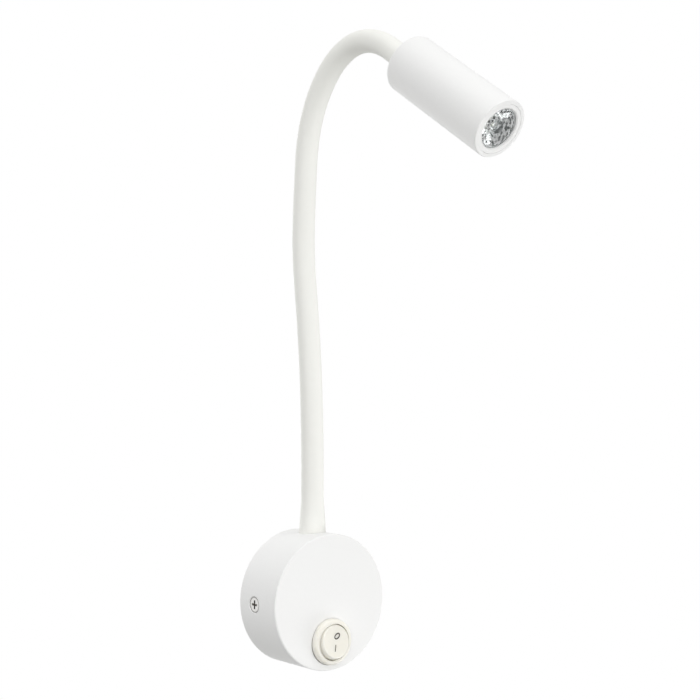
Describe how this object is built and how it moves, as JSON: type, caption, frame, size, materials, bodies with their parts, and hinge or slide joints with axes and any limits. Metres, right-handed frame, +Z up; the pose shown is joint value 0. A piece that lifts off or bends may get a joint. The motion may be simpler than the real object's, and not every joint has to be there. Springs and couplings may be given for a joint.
{
  "type": "flexible wall light",
  "caption": "Wall light with a round cup and rocker switch, a sleeved gooseneck that bends and stays, and a slim tube head with a spot lens.",
  "frame": {"origin": "on the wall, midway between the two wall screws, behind the centre of the round cup", "axes": "+Y into the wall, -Y towards the room, +Z up, +X to the right seen from the room"},
  "size_m": [0.07, 0.1492, 0.3255],
  "materials": {
    "white_paint": "satin powder coat",
    "zinc_steel": "zinc plated",
    "screw_steel": "nickel plated",
    "hose_steel": "wound spring steel",
    "white_silicone": "matt",
    "black_rubber": "matt",
    "brass": "plain",
    "ivory_plastic": "satin moulded",
    "white_plastic": "moulded",
    "grey_plastic": "moulded",
    "foam": "foam tape",
    "lead_skin": "PVC skin",
    "cable_skin": "PVC skin",
    "bare_aluminium": "turned",
    "board_white": "solder mask",
    "phosphor": "phosphor coat",
    "clear_acrylic": "polished"
  },
  "bodies": {
    "base": {"base_cup": "white_paint", "wall_plate": "zinc_steel", "side_screws": "screw_steel", "cable_grommet": "black_rubber", "earth_screw": "brass", "terminal_block": "ivory_plastic", "terminal_screws": "brass", "led_driver": "white_plastic", "driver_pad": "foam", "switch_housing": "ivory_plastic", "switch_terminals": "brass", "supply_leads": "lead_skin", "neck_fitting": "zinc_steel", "neck_washer": "zinc_steel", "neck_nut": "zinc_steel", "sleeve_01": "white_silicone", "hose_01": "hose_steel", "led_cable": "cable_skin"},
    "neck_02": {"sleeve_02": "white_silicone", "hose_02": "hose_steel"},
    "neck_03": {"sleeve_03": "white_silicone", "hose_03": "hose_steel"},
    "neck_04": {"sleeve_04": "white_silicone", "hose_04": "hose_steel"},
    "neck_05": {"sleeve_05": "white_silicone", "hose_05": "hose_steel"},
    "neck_06": {"sleeve_06": "white_silicone", "hose_06": "hose_steel"},
    "neck_07": {"sleeve_07": "white_silicone", "hose_07": "hose_steel"},
    "neck_08": {"sleeve_08": "white_silicone", "hose_08": "hose_steel"},
    "neck_09": {"sleeve_09": "white_silicone", "hose_09": "hose_steel"},
    "neck_10": {"sleeve_10": "white_silicone", "hose_10": "hose_steel"},
    "neck_11": {"sleeve_11": "white_silicone", "hose_11": "hose_steel"},
    "neck_12": {"sleeve_12": "white_silicone", "hose_12": "hose_steel"},
    "head": {"sleeve_13": "white_silicone", "hose_13": "hose_steel", "head_fitting": "zinc_steel", "head_washer": "zinc_steel", "head_nut": "zinc_steel", "head_shell": "white_paint", "heat_slug": "bare_aluminium", "led_board": "board_white", "led_emitter": "phosphor", "board_screws": "screw_steel", "lens_holder": "grey_plastic", "lens": "clear_acrylic", "lens_ring": "white_paint", "led_leads": "lead_skin"},
    "rocker": {"switch_rocker": "ivory_plastic", "switch_plunger": "screw_steel"},
    "contact": {"contact_lever": "brass"}
  },
  "joints": [
    {"name": "neck_bend_01", "type": "hinge", "parent": "base", "child": "neck_02", "pos_m": [0, -0.01525, 0.06058], "axis": [0.9945, 0.1045, 0], "range_deg": [0, 30], "deforming": ["led_cable"]},
    {"name": "neck_bend_02", "type": "hinge", "parent": "neck_02", "child": "neck_03", "pos_m": [-0.00004, -0.01488, 0.09308], "axis": [-0.1045, 0.9941, -0.0283], "range_deg": [-30, 30], "deforming": ["led_cable"]},
    {"name": "neck_bend_03", "type": "hinge", "parent": "neck_03", "child": "neck_04", "pos_m": [-0.0002, -0.01331, 0.12554], "axis": [0.9945, 0.1045, 0], "range_deg": [0, 30], "deforming": ["led_cable"]},
    {"name": "neck_bend_04", "type": "hinge", "parent": "neck_04", "child": "neck_05", "pos_m": [-0.00051, -0.01043, 0.15791], "axis": [-0.1039, 0.9889, -0.1066], "range_deg": [-30, 30], "deforming": ["led_cable"]},
    {"name": "neck_bend_05", "type": "hinge", "parent": "neck_05", "child": "neck_06", "pos_m": [-0.00071, -0.00845, 0.19032], "axis": [0.9945, 0.1045, 0], "range_deg": [-6, 25], "deforming": ["led_cable"]},
    {"name": "neck_bend_06", "type": "hinge", "parent": "neck_06", "child": "neck_07", "pos_m": [-0.00054, -0.01014, 0.22277], "axis": [-0.1043, 0.992, 0.0719], "range_deg": [-25, 25], "deforming": ["led_cable"]},
    {"name": "neck_bend_07", "type": "hinge", "parent": "neck_07", "child": "neck_08", "pos_m": [-0.00035, -0.01192, 0.23866], "axis": [0.9945, 0.1045, 0], "range_deg": [-12, 18], "deforming": ["led_cable"]},
    {"name": "neck_bend_08", "type": "hinge", "parent": "neck_08", "child": "neck_09", "pos_m": [0.00013, -0.01645, 0.25397], "axis": [0.9945, 0.1045, 0], "range_deg": [-14, 16], "deforming": ["led_cable"]},
    {"name": "neck_bend_09", "type": "hinge", "parent": "neck_09", "child": "neck_10", "pos_m": [0.00094, -0.0242, 0.2679], "axis": [0.9945, 0.1045, 0], "range_deg": [-20, 10], "deforming": ["led_cable"]},
    {"name": "neck_bend_10", "type": "hinge", "parent": "neck_10", "child": "neck_11", "pos_m": [0.00212, -0.03539, 0.27916], "axis": [0.9945, 0.1045, 0], "range_deg": [-28, 5], "deforming": ["led_cable"]},
    {"name": "neck_bend_11", "type": "hinge", "parent": "neck_11", "child": "neck_12", "pos_m": [0.00367, -0.05016, 0.28458], "axis": [0.9945, 0.1045, 0], "range_deg": [-28, 5], "deforming": ["led_cable"]},
    {"name": "neck_bend_12", "type": "hinge", "parent": "neck_12", "child": "head", "pos_m": [0.0053, -0.06563, 0.28159], "axis": [0.0428, -0.4072, 0.9123], "range_deg": [-15, 15], "deforming": ["led_cable"]},
    {"name": "rocker_press", "type": "hinge", "parent": "base", "child": "rocker", "pos_m": [0, -0.0318, -0.02], "axis": [0.9511, 0, -0.309], "range_deg": [0, 20]},
    {"name": "lever_rock", "type": "hinge", "parent": "base", "child": "contact", "pos_m": [0, -0.0232, -0.02], "axis": [0.9511, 0, -0.309], "range_deg": [-12, 0]}
  ],
  "couplings": [
    {"joint": "lever_rock", "follows": "rocker_press", "ratio": -0.6}
  ]
}
